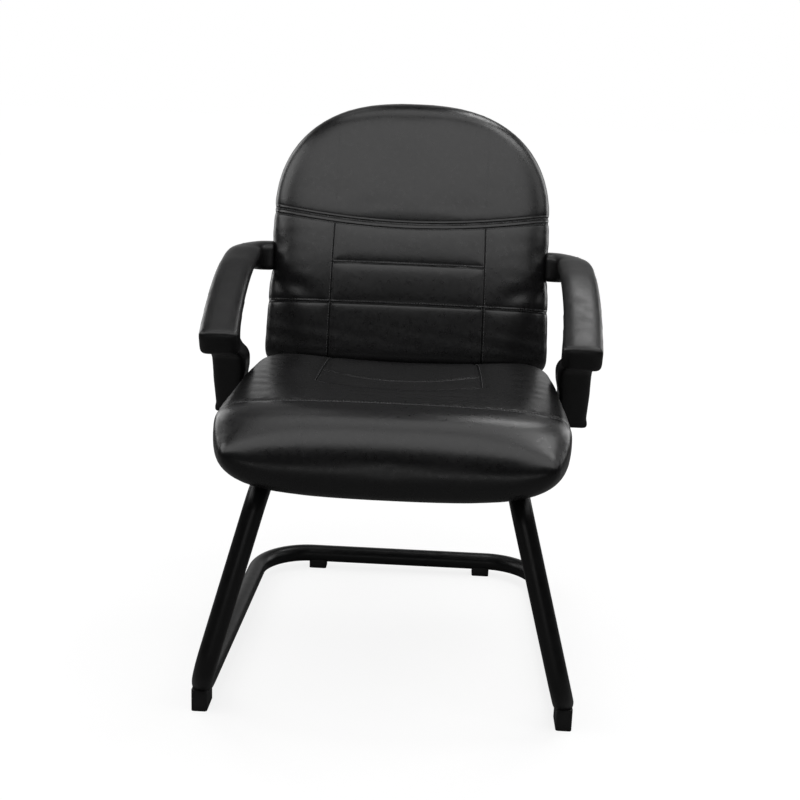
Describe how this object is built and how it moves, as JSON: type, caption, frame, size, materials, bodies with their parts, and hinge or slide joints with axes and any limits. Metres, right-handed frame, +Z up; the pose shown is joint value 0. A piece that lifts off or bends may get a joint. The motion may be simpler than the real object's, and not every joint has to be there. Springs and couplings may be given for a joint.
{
  "type": "sled base visitor chair",
  "caption": "Armchair for visitors: padded seat and high rounded back in sewn black leather, one-piece moulded arms, on a bent round-tube sled base with plastic glides.",
  "frame": {"origin": "on the floor, under the middle of the chair's overall box", "axes": "+X to the viewer's right when facing the chair, -Y the way the chair faces, +Z up"},
  "size_m": [0.644, 0.6792, 0.897],
  "materials": {
    "frame_paint": "semi-gloss black paint",
    "leather": "soft black grained leather, stitched",
    "arm_plastic": "satin moulded black, fine texture",
    "glide_plastic": "matt moulded black",
    "zinc_steel": "zinc plated",
    "plywood": "raw beech plywood",
    "foam": "open-cell cushion foam",
    "dust_cloth": "matt black non-woven cloth"
  },
  "bodies": {
    "root": {"arm_back_bolt_lower_left": "zinc_steel", "arm_back_bolt_lower_right": "zinc_steel", "arm_back_bolt_upper_left": "zinc_steel", "arm_back_bolt_upper_right": "zinc_steel", "arm_back_plug_lower_left": "arm_plastic", "arm_back_plug_lower_right": "arm_plastic", "arm_back_plug_upper_left": "arm_plastic", "arm_back_plug_upper_right": "arm_plastic", "arm_left": "arm_plastic", "arm_right": "arm_plastic", "arm_seat_bolt_front_left": "zinc_steel", "arm_seat_bolt_front_right": "zinc_steel", "arm_seat_bolt_rear_left": "zinc_steel", "arm_seat_bolt_rear_right": "zinc_steel", "arm_seat_nut_front_left": "zinc_steel", "arm_seat_nut_front_right": "zinc_steel", "arm_seat_nut_rear_left": "zinc_steel", "arm_seat_nut_rear_right": "zinc_steel", "back_board": "plywood", "back_bracket_left": "zinc_steel", "back_bracket_right": "zinc_steel", "back_cover": "leather", "back_foam": "foam", "back_panel": "leather", "bracket_screw_lower_left": "zinc_steel", "bracket_screw_lower_right": "zinc_steel", "bracket_screw_upper_left": "zinc_steel", "bracket_screw_upper_right": "zinc_steel", "dust_cloth": "dust_cloth", "front_cross_plate": "frame_paint", "front_glide_left": "glide_plastic", "front_glide_right": "glide_plastic", "front_glide_screw_left": "zinc_steel", "front_glide_screw_right": "zinc_steel", "rail_plug_left": "glide_plastic", "rail_plug_right": "glide_plastic", "rear_cross_plate": "frame_paint", "rear_glide_left": "glide_plastic", "rear_glide_right": "glide_plastic", "rear_glide_screw_left": "zinc_steel", "rear_glide_screw_right": "zinc_steel", "seat_board": "plywood", "seat_bolt_front_left": "zinc_steel", "seat_bolt_front_right": "zinc_steel", "seat_bolt_rear_left": "zinc_steel", "seat_bolt_rear_right": "zinc_steel", "seat_cover": "leather", "seat_foam": "foam", "seat_nut_front_left": "zinc_steel", "seat_nut_front_right": "zinc_steel", "seat_nut_rear_left": "zinc_steel", "seat_nut_rear_right": "zinc_steel", "sled_tube": "frame_paint"}
  },
  "joints": []
}
